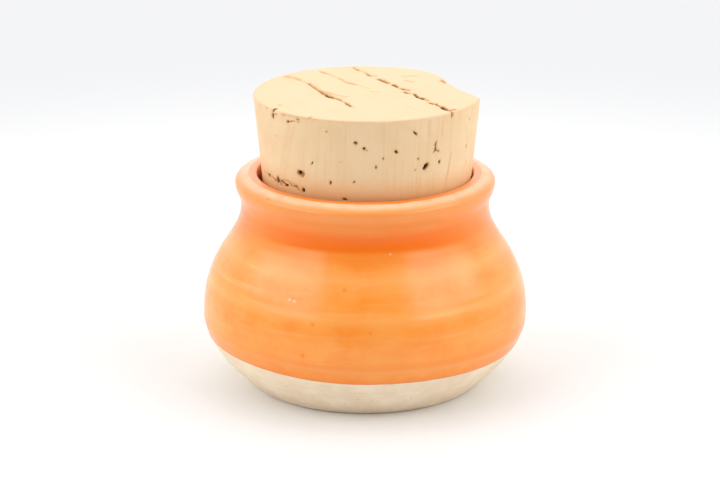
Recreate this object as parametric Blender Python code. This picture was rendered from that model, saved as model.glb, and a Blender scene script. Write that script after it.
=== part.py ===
"""A small thrown stoneware jar, shut with a tapered natural cork.

The jar stands on Z = 0 with its axis on Z, and its front looks along -Y. Lengths are in metres and
angles in degrees, counted from +X towards +Y. The jar is solid up to the seat that holds the cork.
"""

import math
import random

import bmesh
import bpy
from mathutils import Vector
from mathutils.geometry import interpolate_bezier

# The jar's outline, as radius and height of its glazed surface
FOOT_FLAT_RADIUS = 0.0294
FOOT_EDGE_ROUNDING = 0.0015
FOOT_WALL_LEAN = 42.0
BELLY_RADIUS = 0.0414
BELLY_HEIGHT = 0.0180
NECK_RADIUS = 0.0315
NECK_HEIGHT = 0.0459
LIP_RADIUS = 0.0329
LIP_HEIGHT = 0.0520
CREST_RADIUS = 0.0276
CREST_RISE = 0.0022
THROAT_RADIUS = 0.0271
THROAT_HEIGHT = 0.0520
SEAT_TOP_HEIGHT = 0.0485

# How far the outline's curves run straight before they turn
FOOT_TO_BELLY_PULL = 0.0095
BELLY_PULL_DOWN = 0.0060
BELLY_PULL_UP = 0.0155
NECK_PULL_DOWN = 0.0090
NECK_PULL_UP = 0.0033
LIP_PULL_DOWN = 0.0028

# The glaze's lower edge, and the pale ridge that runs round above it
GLAZE_THICKNESS = 0.00020
GLAZE_EDGE_HEIGHT = 0.0122
GLAZE_EDGE_FALL_TO_RIGHT = 0.0192
GLAZE_EDGE_RISE_TO_BACK = 0.0175
GLAZE_EDGE_WAVE = 0.00015
GLAZE_EDGE_ROLL = 0.00035
RIDGE_RISE = 0.0030
RIDGE_HALF_WIDTH = 0.0008
RIDGE_PROUD = 0.00010

# Where the jar's wall has its rings of points
BARE_RING_HEIGHTS = (0.0025, 0.0050, 0.0075, 0.0100)
FIRST_LEVEL_RISE = 0.0070
RING_SPACING = 0.0019
LIP_RINGS = 7

# The cork: a two and a quarter inch jar cork, a little out of round and off the jar's axis
CORK_TOP_HEIGHT = 0.0744
CORK_LENGTH = 0.03175
CORK_TOP_RADIUS = 0.0285
CORK_BOTTOM_RADIUS = 0.0254
CORK_EDGE_ROUNDING = 0.0005
CORK_OFFSET = 0.00042
CORK_LEAN = 0.015
CORK_BULGE = 0.0005
CORK_BULGE_ANGLE = 125.0
SEAT_GAP = 0.0003

# Where the cork's top edge has crumbled away: angle, then how far the edge has drawn in
CRUMBLED_EDGE = [
    (-10, 0.0),
    (-5, 0.0016),
    (3, 0.0036),
    (14, 0.0060),
    (29, 0.0058),
    (36, 0.0046),
    (43, 0.0026),
    (50, 0.0018),
    (80, 0.0016),
    (88, 0.0005),
    (96, 0.0),
]
CRUMBLE_DEPTH = 0.0050
CRUMBLE_HOLLOW = 1.3
CRUMBLE_ROWS = 6
CRUMBLE_ROUGHNESS = 0.00025

# Cracks in the cork's top, as points across it from the cork's axis, with the crack's width
LEFT_CRACK = [
    (-0.0208, 0.0182, 0.0008),
    (-0.0150, 0.0091, 0.0006),
    (-0.0117, 0.0003, 0.0009),
    (-0.0092, -0.0045, 0.0020),
    (-0.0069, -0.0067, 0.0015),
    (-0.0039, -0.0136, 0.0003),
]
LONG_CRACK = [
    (-0.0042, 0.0300, 0.0010),
    (0.0004, 0.0180, 0.0008),
    (0.0044, 0.0116, 0.0013),
    (0.0086, 0.0033, 0.0010),
    (0.0124, -0.0048, 0.0014),
    (0.0157, -0.0097, 0.0009),
    (0.0186, -0.0155, 0.0016),
    (0.0205, -0.0205, 0.0008),
    (0.0218, -0.0262, 0.0004),
]
GROOVE_DEPTH_IN_WIDTHS = 0.6

# The ragged scar low on the cork's left side, as angle, height and width
LOW_SCAR = [
    (-163, 0.0572, 0.0005),
    (-154, 0.0563, 0.0011),
    (-145, 0.0562, 0.0020),
    (-137, 0.0560, 0.0016),
    (-129, 0.0558, 0.0009),
    (-124, 0.0550, 0.0004),
]

# Pits in the cork's side, as angle, height and radius
PITS = [
    (-126, 0.0595, 0.00105),
    (-145, 0.0735, 0.00110),
    (-130, 0.0727, 0.00080),
    (-96, 0.0690, 0.00055),
    (-92, 0.0675, 0.00050),
    (-75, 0.0665, 0.00060),
    (-82, 0.0649, 0.00045),
    (-86, 0.0626, 0.00045),
    (-97, 0.0590, 0.00050),
    (-109, 0.0583, 0.00055),
    (-119, 0.0629, 0.00050),
    (-66, 0.0709, 0.00060),
    (-58, 0.0617, 0.00095),
    (-50, 0.0622, 0.00060),
    (-53, 0.0657, 0.00065),
]
PIT_SINK_IN_RADII = 0.1

SEGMENTS = 72
CURVE_STEPS = 24
SEED = 11

GLAZE_COLOR = (0.80, 0.19, 0.035, 1.0)
BARE_CLAY_COLOR = (0.60, 0.47, 0.35, 1.0)
CORK_COLOR = (0.76, 0.54, 0.33, 1.0)


def clear_scene():
    for item in list(bpy.data.objects):
        bpy.data.objects.remove(item, do_unlink=True)


def principled(name, color, roughness):
    """A plain opaque material."""
    material = bpy.data.materials.new(name)
    material.use_nodes = True
    shader = material.node_tree.nodes["Principled BSDF"]
    shader.inputs["Base Color"].default_value = color
    shader.inputs["Roughness"].default_value = roughness
    shader.inputs["Metallic"].default_value = 0.0
    material.diffuse_color = color
    return material


def blend(stations, position):
    """The value at a position between stations of (position, value), zero outside them."""
    if position <= stations[0][0] or position >= stations[-1][0]:
        return 0.0
    for (low, low_value), (high, high_value) in zip(stations, stations[1:]):
        if position <= high:
            share = (position - low) / (high - low)
            return low_value + share * (high_value - low_value)
    return 0.0


def ring_angles():
    return [360.0 * step / SEGMENTS for step in range(SEGMENTS)]


def signed(angle):
    """The same angle, between -180 and 180."""
    return (angle + 180.0) % 360.0 - 180.0


def on_circle(radius, angle, height, centre_x=0.0):
    turn = math.radians(angle)
    return Vector((centre_x + radius * math.cos(turn), radius * math.sin(turn), height))


def ring(radius, height, centre_x=0.0):
    """One level ring of points."""
    return [on_circle(radius, angle, height, centre_x) for angle in ring_angles()]


def loft(name, rings, material):
    """A closed body through rings of points, capped flat at the first and the last ring."""
    mesh_builder = bmesh.new()
    rows = [[mesh_builder.verts.new(point) for point in points] for points in rings]
    for lower, upper in zip(rows, rows[1:]):
        for step in range(SEGMENTS):
            after = (step + 1) % SEGMENTS
            mesh_builder.faces.new((lower[step], lower[after], upper[after], upper[step]))
    mesh_builder.faces.new(list(reversed(rows[0])))
    mesh_builder.faces.new(rows[-1])
    return finished(name, mesh_builder, material)


def finished(name, mesh_builder, material):
    """An object from the built mesh, with its faces pointing out."""
    bmesh.ops.recalc_face_normals(mesh_builder, faces=mesh_builder.faces)
    mesh = bpy.data.meshes.new(name)
    mesh_builder.to_mesh(mesh)
    mesh_builder.free()
    mesh.materials.append(material)
    body = bpy.data.objects.new(name, mesh)
    bpy.context.scene.collection.objects.link(body)
    return body


def shade_round(body, sharp_angle):
    body.data.shade_smooth()
    body.data.set_sharp_from_angle(angle=math.radians(sharp_angle))


# The jar

def curve(start, start_pull, end_pull, end):
    """Points of one Bezier stretch of the outline, each as radius and height."""
    corners = [Vector((radius, height, 0.0)) for radius, height in (start, start_pull, end_pull, end)]
    return [(point.x, point.y) for point in interpolate_bezier(*corners, CURVE_STEPS)]


def foot_edge():
    """The small rounding between the flat base and the wall."""
    points = []
    for share in (0.0, 0.5, 1.0):
        turn = math.radians(FOOT_WALL_LEAN * share)
        radius = FOOT_FLAT_RADIUS + FOOT_EDGE_ROUNDING * math.sin(turn)
        points.append((radius, FOOT_EDGE_ROUNDING * (1.0 - math.cos(turn))))
    return points


def wall_outline():
    """The outer outline from the top of the foot's edge to the widest point of the lip."""
    foot = foot_edge()[-1]
    lean = math.radians(FOOT_WALL_LEAN)
    foot_pull_radius = foot[0] + FOOT_TO_BELLY_PULL * math.cos(lean)
    foot_pull_height = foot[1] + FOOT_TO_BELLY_PULL * math.sin(lean)
    belly = (BELLY_RADIUS, BELLY_HEIGHT)
    neck = (NECK_RADIUS, NECK_HEIGHT)
    lip = (LIP_RADIUS, LIP_HEIGHT)
    lower = curve(foot, (foot_pull_radius, foot_pull_height),
                  (BELLY_RADIUS, BELLY_HEIGHT - BELLY_PULL_DOWN), belly)
    shoulder = curve(belly, (BELLY_RADIUS, BELLY_HEIGHT + BELLY_PULL_UP),
                     (NECK_RADIUS, NECK_HEIGHT - NECK_PULL_DOWN), neck)
    flare = curve(neck, (NECK_RADIUS, NECK_HEIGHT + NECK_PULL_UP),
                  (LIP_RADIUS, LIP_HEIGHT - LIP_PULL_DOWN), lip)
    return lower + shoulder[1:] + flare[1:]


WALL_OUTLINE = wall_outline()


def wall_radius(height):
    """The glazed wall's outer radius at a height."""
    for (low_radius, low), (high_radius, high) in zip(WALL_OUTLINE, WALL_OUTLINE[1:]):
        if height <= high:
            share = (height - low) / (high - low)
            return low_radius + share * (high_radius - low_radius)
    return LIP_RADIUS


def edge_sway(angle):
    """How far the glaze's lower edge, which runs a little askew, is off its mean height."""
    turn = math.radians(angle)
    askew = GLAZE_EDGE_RISE_TO_BACK * math.sin(turn) - GLAZE_EDGE_FALL_TO_RIGHT * math.cos(turn)
    wave = GLAZE_EDGE_WAVE * math.sin(5.0 * turn + 1.0)
    return BELLY_RADIUS * askew + wave


def edge_ring(rise, proud, sway_share=1.0):
    """A ring that follows the glaze's lower edge, at a rise above it and proud of the outline."""
    points = []
    for angle in ring_angles():
        height = GLAZE_EDGE_HEIGHT + rise + sway_share * edge_sway(angle)
        points.append(on_circle(wall_radius(height) + proud, angle, height))
    return points


def bare_foot_rings():
    """The unglazed clay, from the flat base up to the glaze's edge."""
    rings = [ring(radius - GLAZE_THICKNESS, height) for radius, height in foot_edge()]
    for height in BARE_RING_HEIGHTS:
        rings.append(ring(wall_radius(height) - GLAZE_THICKNESS, height))
    rings.append(edge_ring(0.0, -GLAZE_THICKNESS))
    return rings


def glazed_wall_rings():
    """The glazed wall, from the rolled edge of the glaze up to the lip."""
    rings = [edge_ring(GLAZE_EDGE_ROLL, 0.0)]
    rings.append(edge_ring(RIDGE_RISE - RIDGE_HALF_WIDTH, 0.0))
    rings.append(edge_ring(RIDGE_RISE, RIDGE_PROUD))
    rings.append(edge_ring(RIDGE_RISE + RIDGE_HALF_WIDTH, 0.0))
    rings.append(edge_ring(FIRST_LEVEL_RISE - RING_SPACING, 0.0, sway_share=0.5))
    height = GLAZE_EDGE_HEIGHT + FIRST_LEVEL_RISE
    while height < LIP_HEIGHT - 0.5 * RING_SPACING:
        rings.append(ring(wall_radius(height), height))
        height += RING_SPACING
    return rings


def lip_rings():
    """The rounded lip, whose crest is near its inner side, and the drop into the throat."""
    rings = []
    for step in range(LIP_RINGS):
        turn = math.radians(90.0 * step / (LIP_RINGS - 1))
        radius = CREST_RADIUS + (LIP_RADIUS - CREST_RADIUS) * math.cos(turn)
        rings.append(ring(radius, LIP_HEIGHT + CREST_RISE * math.sin(turn)))
    rings.append(ring(THROAT_RADIUS, THROAT_HEIGHT))
    return rings


def seat_rings():
    """The tapered seat, which follows the cork a small gap outside it."""
    floor_height = CORK_TOP_HEIGHT - CORK_LENGTH - SEAT_GAP
    rings = []
    for height in (SEAT_TOP_HEIGHT, floor_height):
        rings.append(ring(cork_radius(height) + SEAT_GAP, height, cork_axis(height)))
    return rings


def build_jar():
    glaze = principled("orange_glaze", GLAZE_COLOR, 0.18)
    bare_clay = principled("bare_clay", BARE_CLAY_COLOR, 0.85)
    foot = bare_foot_rings()
    jar = loft("jar", foot + glazed_wall_rings() + lip_rings() + seat_rings(), glaze)
    jar.data.materials.append(bare_clay)
    bare_faces = SEGMENTS * (len(foot) - 1)
    for face in jar.data.polygons:
        is_base = len(face.vertices) > 4 and face.normal.z < 0.0
        if face.index < bare_faces or is_base:
            face.material_index = 1
    shade_round(jar, 40.0)
    return jar


# The cork

def cork_radius(height):
    """The cork's own taper."""
    share = (CORK_TOP_HEIGHT - height) / CORK_LENGTH
    return CORK_TOP_RADIUS + share * (CORK_BOTTOM_RADIUS - CORK_TOP_RADIUS)


def cork_axis(height):
    """The X of the cork's axis, as it leans a little to the right."""
    return CORK_OFFSET + CORK_LEAN * (height - THROAT_HEIGHT)


def cork_side_radius(angle, height):
    """The taper, with the bulge that grows above the jar's mouth."""
    above_mouth = max(0.0, (height - THROAT_HEIGHT) / (CORK_TOP_HEIGHT - THROAT_HEIGHT))
    bulge = CORK_BULGE * above_mouth * math.cos(math.radians(angle - CORK_BULGE_ANGLE))
    return cork_radius(height) + bulge


def crumble(angle, depth, draws):
    """How far the crumbled edge is drawn in at a depth under the cork's top."""
    edge = blend(CRUMBLED_EDGE, signed(angle))
    deepest_edge = max(inset for _, inset in CRUMBLED_EDGE)
    reach = CRUMBLE_DEPTH * edge / deepest_edge
    if depth >= reach:
        return 0.0
    left = 1.0 - depth / reach
    return edge * left ** CRUMBLE_HOLLOW + CRUMBLE_ROUGHNESS * draws.uniform(-1.0, 1.0) * left


def cork_ring(depth, inset, draws):
    """One ring of the cork's side at a depth under its top."""
    height = CORK_TOP_HEIGHT - depth
    points = []
    for angle in ring_angles():
        radius = cork_side_radius(angle, height) - inset - crumble(angle, depth, draws)
        points.append(on_circle(radius, angle, height, cork_axis(height)))
    return points


def cork_body(material):
    """The plain tapered cork with its rounded edges and its crumbled corner."""
    draws = random.Random(SEED)
    bottom = CORK_LENGTH
    rings = [cork_ring(bottom, CORK_EDGE_ROUNDING, draws)]
    rings.append(cork_ring(bottom - CORK_EDGE_ROUNDING, 0.0, draws))
    rings.append(cork_ring(CORK_TOP_HEIGHT - THROAT_HEIGHT, 0.0, draws))
    for row in range(CRUMBLE_ROWS, 0, -1):
        rings.append(cork_ring(CRUMBLE_DEPTH * row / CRUMBLE_ROWS, 0.0, draws))
    for turn in (math.radians(45.0), math.radians(90.0)):
        depth = CORK_EDGE_ROUNDING * (1.0 - math.sin(turn))
        rings.append(cork_ring(depth, CORK_EDGE_ROUNDING * (1.0 - math.cos(turn)), draws))
    return loft("cork", rings, material)


def groove_cutter(name, stations, material):
    """A V-shaped bar along a crack. Each station is its point, outward normal and width."""
    mesh_builder = bmesh.new()
    rows = []
    for index, (point, outward, width) in enumerate(stations):
        before = stations[max(index - 1, 0)][0]
        after = stations[min(index + 1, len(stations) - 1)][0]
        across = (after - before).cross(outward).normalized() * width
        lift = outward * GROOVE_DEPTH_IN_WIDTHS * width
        corners = (point + across + lift, point - across + lift, point - lift)
        rows.append([mesh_builder.verts.new(corner) for corner in corners])
    for row, following in zip(rows, rows[1:]):
        for side in range(3):
            other = (side + 1) % 3
            mesh_builder.faces.new((row[side], row[other], following[other], following[side]))
    mesh_builder.faces.new(list(reversed(rows[0])))
    mesh_builder.faces.new(rows[-1])
    return finished(name, mesh_builder, material)


def top_stations(crack):
    """A crack across the cork's flat top."""
    axis = cork_axis(CORK_TOP_HEIGHT)
    upwards = Vector((0.0, 0.0, 1.0))
    return [(Vector((axis + x, y, CORK_TOP_HEIGHT)), upwards, width) for x, y, width in crack]


def side_stations(scar):
    """A scar round the cork's side."""
    stations = []
    for angle, height, width in scar:
        point = on_circle(cork_side_radius(angle, height), angle, height, cork_axis(height))
        stations.append((point, on_circle(1.0, angle, 0.0), width))
    return stations


def pit_cutter(index, angle, height, radius, material):
    """A small round pit, with its widest part just inside the cork's side."""
    sunk = cork_side_radius(angle, height) - radius * PIT_SINK_IN_RADII
    place = on_circle(sunk, angle, height, cork_axis(height))
    mesh_builder = bmesh.new()
    bmesh.ops.create_icosphere(mesh_builder, subdivisions=1, radius=radius)
    bmesh.ops.translate(mesh_builder, verts=mesh_builder.verts, vec=place)
    return finished(f"pit_cutter_{index:02d}", mesh_builder, material)


def cut(body, cutters):
    """Takes the cutters out of a body, one after the other, and keeps them as hidden guides."""
    for cutter in cutters:
        cutter.hide_render = True
        cutter.display_type = "WIRE"
        modifier = body.modifiers.new(cutter.name, "BOOLEAN")
        modifier.operation = "DIFFERENCE"
        modifier.solver = "EXACT"
        modifier.object = cutter


def build_cork():
    material = principled("cork", CORK_COLOR, 0.85)
    cork = cork_body(material)
    shade_round(cork, 35.0)
    cutters = [
        groove_cutter("left_crack_cutter", top_stations(LEFT_CRACK), material),
        groove_cutter("long_crack_cutter", top_stations(LONG_CRACK), material),
        groove_cutter("low_scar_cutter", side_stations(LOW_SCAR), material),
    ]
    for index, (angle, height, radius) in enumerate(PITS):
        cutters.append(pit_cutter(index, angle, height, radius, material))
    cut(cork, cutters)
    return cork


def main():
    clear_scene()
    build_jar()
    build_cork()


main()
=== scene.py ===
"""The looks of a small thrown stoneware jar with an orange glaze, shut with a natural cork.

Lengths are in metres and angles in degrees, counted from +X towards +Y. -Y is the front.
"""

import math

import bmesh
import bpy
import numpy as np
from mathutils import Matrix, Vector, noise
from mathutils.geometry import interpolate_bezier


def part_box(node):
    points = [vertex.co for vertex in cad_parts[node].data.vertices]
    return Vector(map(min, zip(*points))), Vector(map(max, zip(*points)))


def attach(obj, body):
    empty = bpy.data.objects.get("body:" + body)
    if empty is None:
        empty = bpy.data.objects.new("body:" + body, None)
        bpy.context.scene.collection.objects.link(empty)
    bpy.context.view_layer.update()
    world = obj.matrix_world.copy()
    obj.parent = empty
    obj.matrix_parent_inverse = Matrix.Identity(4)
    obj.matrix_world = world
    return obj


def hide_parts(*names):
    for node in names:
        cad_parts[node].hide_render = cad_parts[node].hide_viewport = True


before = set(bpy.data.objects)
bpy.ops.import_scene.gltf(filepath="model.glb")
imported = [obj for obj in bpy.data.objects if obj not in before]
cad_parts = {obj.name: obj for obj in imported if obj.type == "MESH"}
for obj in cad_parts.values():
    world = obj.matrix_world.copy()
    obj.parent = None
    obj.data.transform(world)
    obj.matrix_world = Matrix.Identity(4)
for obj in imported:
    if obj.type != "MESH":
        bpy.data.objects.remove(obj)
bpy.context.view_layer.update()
JAR_LOW, JAR_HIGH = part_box("jar")
CORK_LOW, CORK_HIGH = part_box("cork")

# The jar's outline, as radius and height of its glazed surface
BELLY_RADIUS = 0.0414
BELLY_HEIGHT = 0.0180
FOOT_FLAT_RADIUS = 0.0294
FOOT_EDGE_ROUNDING = 0.0015
FOOT_WALL_LEAN = 42.0
NECK_RADIUS = 0.0315
NECK_HEIGHT = 0.0459
LIP_RADIUS = 0.0329
LIP_HEIGHT = 0.0520
CREST_RADIUS = 0.0276
CREST_RISE = 0.0022
THROAT_RADIUS = 0.0271
THROAT_ROUNDING = 0.0016
THROAT_HEIGHT = 0.0520
SEAT_TOP_HEIGHT = 0.0485
FOOT_TO_BELLY_PULL = 0.0095
BELLY_PULL_DOWN = 0.0060
BELLY_PULL_UP = 0.0155
NECK_PULL_DOWN = 0.0090
NECK_PULL_UP = 0.0033
LIP_PULL_DOWN = 0.0028
CURVE_STEPS = 90

# The glaze coat
GLAZE_THICKNESS = 0.00020
GLAZE_SUNK = 0.00012
GLAZE_ROLL = 0.00045
GLAZE_EDGE_HEIGHT = 0.0122
GLAZE_EDGE_FALL_TO_RIGHT = 0.0192
GLAZE_EDGE_RISE_TO_BACK = 0.0175
GLAZE_EDGE_WAVE = 0.00016

# How much longer the outline is than it is high, at the glaze's edge
EDGE_SLOPE = 1.25

# The low ridge above the glaze's edge
RIDGE_RISE = 0.0039
RIDGE_HALF_WIDTH = 0.0007
RIDGE_PROUD = 0.0001

# Bands right round where the glaze is thinner or thicker, the highest one also a painted highlight: height,
# half width, strength and colour
GLAZE_AND_HIGHLIGHT_BANDS = (
    (0.0364, 0.0018, 0.40, (255, 180, 102)), (0.0278, 0.0016, 0.44, (255, 180, 102)),
    (0.0200, 0.0022, 0.10, (255, 180, 102)), (0.0158, 0.0014, 0.45, (246, 134, 46)),
)

# Where the glaze's colour changes, as lengths along the outline from the neck's narrowest point
NECK_DEEPENS = (-0.0090, -0.0040)
POOL_AND_SHADE_STARTS = (-0.0042, -0.0026)
POOL_AND_SHADE_ENDS = (-0.0004, 0.0020)
THINS_ABOVE_NECK = 0.0010

# The same from the lip's crest
THIN_ENDS = (-0.0022, -0.0014)
CREAM_AND_HIGHLIGHT_STARTS = (-0.0052, -0.0030)
CREAM_AND_HIGHLIGHT_ENDS = (-0.0021, -0.0013)
INNER_LIP_REFLECTION_STARTS = (-0.0022, -0.0012)
THROAT_SHADE_STARTS = (0.0016, 0.0030)

# How far above its lower edge the glaze is still deeper
DEEP_EDGE_HEIGHT = 0.0026

# How far to the side, from the middle of the front, the neck's pool with its painted shade and the lip's
# cream with its painted highlight weaken, and the painted reflection inside the lip grows
SIDEWAYS = (0.012, 0.030)

# Pale arcs part of the way round: first and last angle, height and strength
PALE_ARCS = (
    (-164, -140, 0.0311, 0.3), (-152, -130, 0.0318, 0.26), (-147, -135, 0.036, 0.32),
    (-128, -108, 0.0235, 0.22), (-66, -48, 0.0226, 0.16), (-98, -80, 0.0293, 0.16),
)
ARC_HALF_WIDTH = 0.0003

# Faults in the glaze: angle, height, size and colour
FAULTS = (
    (-118.6, 0.0313, 0.0006, (255, 206, 158)), (-116.6, 0.0311, 0.0007, (255, 200, 148)),
    (-117.5, 0.0317, 0.0005, (226, 112, 40)), (-79.1, 0.0422, 0.0004, (255, 216, 180)),
    (-111.5, 0.0187, 0.0008, (240, 118, 30)), (-108.5, 0.0265, 0.0008, (242, 124, 36)),
    (-88.3, 0.0251, 0.0007, (242, 126, 38)), (-98.0, 0.0345, 0.0008, (242, 124, 34)),
    (-137.4, 0.0531, 0.00055, (120, 70, 40)), (-112.0, 0.0533, 0.00025, (190, 120, 80)),
)

# The cork
CORK_LENGTH = CORK_HIGH.z - CORK_LOW.z
CORK_TOP = CORK_HIGH.z
CORK_TOP_RADIUS = 0.0285
CORK_BOTTOM_RADIUS = 0.0254
CORK_EDGE_ROUNDING = 0.0005
CORK_OFFSET = 0.00042
CORK_LEAN = 0.015
CORK_BULGE = 0.0005
CORK_BULGE_ANGLE = 125.0
SEAT_GAP = 0.0003
GRAIN_ANGLE = 26.0
GRAIN_DEPTH = 0.00010
FINE_GRAIN_DEPTH = 0.00006

# How far above the throat the cork's colour starts to deepen with painted shade and painted orange bounce
# light from the glaze, and where it is deepest
MOUTH_SHADE_AND_BOUNCE = (0.0085, 0.0010)

# Where the cork's top edge has crumbled away: angle, then how far the edge has drawn in
CRUMBLED_EDGE = (
    (-11, 0.0), (-9, 0.0006), (-2, 0.0027), (6, 0.0045), (14, 0.0058), (22, 0.0066), (27, 0.0060),
    (33, 0.0049), (40, 0.0034), (46, 0.0026), (53, 0.0017), (60, 0.0010), (80, 0.0007), (96, 0.0),
)
CRUMBLE_BITES = 0.0003
CRUMBLE_DEPTH = 0.0050
CRUMBLE_HOLLOW = 0.35

# The long crack right across the cork's top, as points from its axis, and half its width
LONG_CRACK = (
    (-0.0042, 0.03), (0.0004, 0.018), (0.0044, 0.0116), (0.0086, 0.0033), (0.0124, -0.0048),
    (0.0157, -0.0097), (0.0186, -0.0155), (0.0205, -0.0205), (0.0218, -0.0262),
)
LONG_CRACK_HALF_WIDTH = 0.0004

SEED = 11

# The camera that took the picture, worked out from the jar's own ellipses
CAMERA_LENS = 117.6
CAMERA_SENSOR = 36.0
CAMERA_PLACE = (-0.00129, -0.5713, 0.2191)
CAMERA_PITCH = 17.8

# The studio's light, in units of a white card that just reaches white
SOFTBOX_STRENGTH = 2.85
CEILING_STRENGTH = 0.54
FRONT_STRENGTH = 0.17
SIDE_STRENGTH = 0.38
BACK_STRENGTH = 1.12
FLOOR_WHITE = 0.84
# Painted shade on the floor: darker and cooler from the first reach out to the far reach, where the studio's
# light falls off
FLOOR_SHADED_FAR_WHITE = 0.64
FLOOR_WHITE_REACH = 0.09
FLOOR_FAR_REACH = 0.36


# Node trees

class Nodes:
    """A node tree, filled with one short call for each node."""

    def __init__(self, tree):
        self.tree = tree

    def feed(self, socket, value):
        if isinstance(value, bpy.types.NodeSocket):
            self.tree.links.new(value, socket)
        else:
            socket.default_value = value

    def add(self, kind, inputs=None, **settings):
        node = self.tree.nodes.new(kind)
        for name, value in settings.items():
            setattr(node, name, value)
        for name, value in (inputs or {}).items():
            self.feed(node.inputs[name], value)
        return node

    def math(self, operation, *values):
        node = self.add("ShaderNodeMath", operation=operation)
        for socket, value in zip(node.inputs, values):
            self.feed(socket, value)
        return node.outputs[0]

    def times(self, *values):
        return self.chain("MULTIPLY", values)

    def plus(self, *values):
        return self.chain("ADD", values)

    def minus(self, first, second):
        return self.math("SUBTRACT", first, second)

    def over(self, first, second):
        return self.math("DIVIDE", first, second)

    def chain(self, operation, values):
        """One operation applied to the first two values, then to each further one in turn."""
        result = values[0]
        for value in values[1:]:
            result = self.math(operation, result, value)
        return result

    def vector_math(self, operation, *values):
        node = self.add("ShaderNodeVectorMath", operation=operation)
        for socket, value in zip(node.inputs, values):
            self.feed(socket, value)
        return node.outputs[0]

    def vector(self, x, y, z):
        return self.add("ShaderNodeCombineXYZ", {"X": x, "Y": y, "Z": z}).outputs[0]

    def apart(self, vector):
        return self.add("ShaderNodeSeparateXYZ", {"Vector": vector}).outputs

    def stretched(self, place, around_scale, along, along_scale):
        """A vector that follows a place round the jar at one scale and a length at another."""
        return self.vector(self.times(place["X"], around_scale), self.times(place["Y"], around_scale),
                           self.times(along, along_scale))

    def named(self, name):
        """In a geometry tree, the value of a named attribute."""
        return self.add("GeometryNodeInputNamedAttribute", {"Name": name}).outputs["Attribute"]

    def keep(self, geometry, name, value):
        """In a geometry tree, the geometry with a value kept in it under a name."""
        return self.add("GeometryNodeStoreNamedAttribute", {
            "Geometry": geometry, "Name": name, "Value": value,
        }).outputs["Geometry"]

    def noise(self, vector, scale, detail=2.0, roughness=0.5):
        """Smooth noise between 0 and 1 at a scale in features for each unit of the vector."""
        return self.add("ShaderNodeTexNoise", {
            "Vector": vector, "Scale": scale, "Detail": detail, "Roughness": roughness,
        }).outputs[0]

    def remap(self, value, low, high, to_low=0.0, to_high=1.0, smooth=True):
        node = self.add("ShaderNodeMapRange", {
            "Value": value, "From Min": low, "From Max": high, "To Min": to_low, "To Max": to_high,
        })
        node.interpolation_type = "SMOOTHSTEP" if smooth else "LINEAR"
        return node.outputs[0]

    def climb(self, value, origin, reach, to_low=0.0, to_high=1.0):
        """A step between two distances from an origin."""
        return self.remap(value, origin + reach[0], origin + reach[1], to_low, to_high)

    def hump(self, value, centre, half_width):
        """One at the centre, falling smoothly to about nothing at twice the half width."""
        away = self.over(self.minus(value, centre), half_width)
        return self.math("EXPONENT", self.times(away, away, -1.0))

    def mix(self, share, first, second):
        node = self.add("ShaderNodeMix", data_type="RGBA")
        self.feed(node.inputs[0], share)
        self.feed(node.inputs[6], first)
        self.feed(node.inputs[7], second)
        return node.outputs[2]


def srgb(red, green, blue):
    """A linear colour from the 0 to 255 values that a screen shows."""
    def linear(level):
        level = level / 255.0
        return level / 12.92 if level <= 0.04045 else ((level + 0.055) / 1.055) ** 2.4
    return (linear(red), linear(green), linear(blue), 1.0)


def new_material(name):
    material = bpy.data.materials.new(name)
    material.use_nodes = True
    nodes = Nodes(material.node_tree)
    shader = material.node_tree.nodes["Principled BSDF"]
    return material, nodes, shader


def finish(nodes, shader, color, roughness, specular, sheen, relief, bump):
    """Joins a colour and a relief to a shader. Sheen is weight and roughness, bump strength and distance."""
    nodes.feed(shader.inputs["Base Color"], color)
    nodes.feed(shader.inputs["Roughness"], roughness)
    shader.inputs["Specular IOR Level"].default_value = specular
    shader.inputs["Sheen Weight"].default_value = sheen[0]
    shader.inputs["Sheen Roughness"].default_value = sheen[1]
    bumped = nodes.add("ShaderNodeBump", {"Height": relief, "Strength": bump[0], "Distance": bump[1]})
    nodes.feed(shader.inputs["Normal"], bumped.outputs[0])


def new_tree(name, given_name, inputs, result_name):
    """A geometry tree with its named inputs and output, and what its input node gives."""
    tree = bpy.data.node_groups.new(name, "GeometryNodeTree")
    tree.interface.new_socket(given_name, in_out="INPUT", socket_type="NodeSocketGeometry")
    for input_name, kind in inputs:
        tree.interface.new_socket(input_name, in_out="INPUT", socket_type="NodeSocket" + kind)
    tree.interface.new_socket(result_name, in_out="OUTPUT", socket_type="NodeSocketGeometry")
    nodes = Nodes(tree)
    return tree, nodes, nodes.add("NodeGroupInput").outputs


def close_tree(nodes, geometry, material, result_name):
    """Smooths the geometry, realizes it, gives it its material and joins it to the output."""
    geometry = nodes.add("GeometryNodeSetShadeSmooth", {"Geometry": geometry}).outputs[0]
    geometry = nodes.add("GeometryNodeRealizeInstances", {"Geometry": geometry}).outputs[0]
    geometry = nodes.add("GeometryNodeSetMaterial", {"Geometry": geometry, "Material": material}).outputs[0]
    nodes.add("NodeGroupOutput", {result_name: geometry})


def attribute(nodes, name):
    return nodes.add("ShaderNodeAttribute", attribute_name=name).outputs["Fac"]


def object_place(nodes):
    return nodes.add("ShaderNodeTexCoord").outputs["Object"]


# The jar's outline

def curve(start, start_pull, end_pull, end):
    """Points of one Bezier stretch of the outline, each as radius and height."""
    corners = [Vector((radius, height, 0.0)) for radius, height in (start, start_pull, end_pull, end)]
    return [(point.x, point.y) for point in interpolate_bezier(*corners, CURVE_STEPS)]


def foot_edge():
    """The small rounding between the flat base and the wall."""
    points = []
    for share in (0.0, 0.25, 0.5, 0.75, 1.0):
        turn = math.radians(FOOT_WALL_LEAN * share)
        radius = FOOT_FLAT_RADIUS + FOOT_EDGE_ROUNDING * math.sin(turn)
        points.append((radius, FOOT_EDGE_ROUNDING * (1.0 - math.cos(turn))))
    return points


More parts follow.
